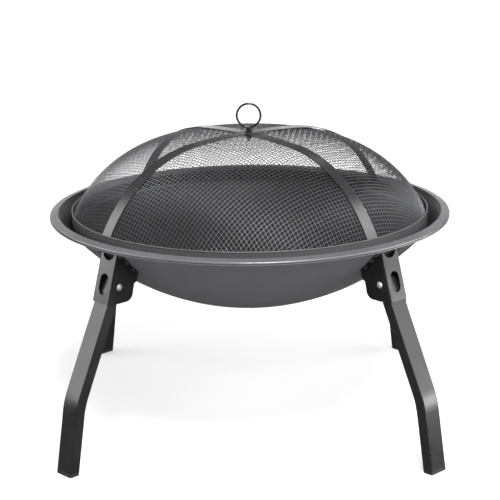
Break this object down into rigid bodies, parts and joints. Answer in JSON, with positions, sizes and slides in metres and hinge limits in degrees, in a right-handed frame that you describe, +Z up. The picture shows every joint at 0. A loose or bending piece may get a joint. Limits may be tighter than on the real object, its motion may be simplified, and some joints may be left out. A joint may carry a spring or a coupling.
{
  "type": "folding fire pit",
  "caption": "Folding fire pit: shallow round steel bowl on hinged legs that swing in underneath, with a lift-off domed wire spark screen and a ring handle.",
  "frame": {"origin": "on the ground under the centre of the bowl", "axes": "+Z up, -Y towards the front of the picture, +X to its right"},
  "size_m": [0.56, 0.56, 0.4477],
  "materials": {
    "bowl_paint": "satin black heat-resistant paint on pressed steel sheet",
    "leg_paint": "satin black powder coat on steel tube",
    "bracket_paint": "satin black powder coat on bent steel sheet",
    "screen_paint": "satin black heat-resistant paint on steel strip",
    "mesh_wire": "black painted woven steel wire",
    "handle_paint": "black painted steel wire",
    "zinc": "bright zinc plated steel",
    "foot_plastic": "matt black moulded plastic"
  },
  "bodies": {
    "fire_bowl_base": {"fire_bowl": "bowl_paint", "bracket_fr": "bracket_paint", "bracket_br": "bracket_paint", "bracket_bl": "bracket_paint", "bracket_fl": "bracket_paint", "hinge_pin_fr": "zinc", "hinge_pin_br": "zinc", "hinge_pin_bl": "zinc", "hinge_pin_fl": "zinc"},
    "leg_body_fr": {"leg_fr": "leg_paint", "foot_fr": "foot_plastic"},
    "leg_body_br": {"leg_br": "leg_paint", "foot_br": "foot_plastic"},
    "leg_body_bl": {"leg_bl": "leg_paint", "foot_bl": "foot_plastic"},
    "leg_body_fl": {"leg_fl": "leg_paint", "foot_fl": "foot_plastic"},
    "spark_screen": {"screen_ring": "screen_paint", "mesh_front": "mesh_wire", "mesh_right": "mesh_wire", "mesh_back": "mesh_wire", "mesh_left": "mesh_wire", "strap_lower": "screen_paint", "strap_upper": "screen_paint", "handle_ring": "handle_paint", "handle_collar": "handle_paint", "handle_washer": "handle_paint", "handle_nut": "handle_paint"}
  },
  "joints": [
    {"name": "leg_fold_fr", "type": "hinge", "parent": "fire_bowl_base", "child": "leg_body_fr", "pos_m": [0.18102, -0.18102, 0.24055], "axis": [0.7071, 0.7071, 0], "range_deg": [0, 90]},
    {"name": "leg_fold_br", "type": "hinge", "parent": "fire_bowl_base", "child": "leg_body_br", "pos_m": [0.18102, 0.18102, 0.24055], "axis": [-0.7071, 0.7071, 0], "range_deg": [0, 90]},
    {"name": "leg_fold_bl", "type": "hinge", "parent": "fire_bowl_base", "child": "leg_body_bl", "pos_m": [-0.18102, 0.18102, 0.24055], "axis": [-0.7071, -0.7071, 0], "range_deg": [0, 90]},
    {"name": "leg_fold_fl", "type": "hinge", "parent": "fire_bowl_base", "child": "leg_body_fl", "pos_m": [-0.18102, -0.18102, 0.24055], "axis": [0.7071, -0.7071, 0], "range_deg": [0, 90]},
    {"name": "screen_lift", "type": "slide", "parent": "fire_bowl_base", "child": "spark_screen", "axis": [0, 0, 1], "range_m": [0, 0.3]}
  ]
}
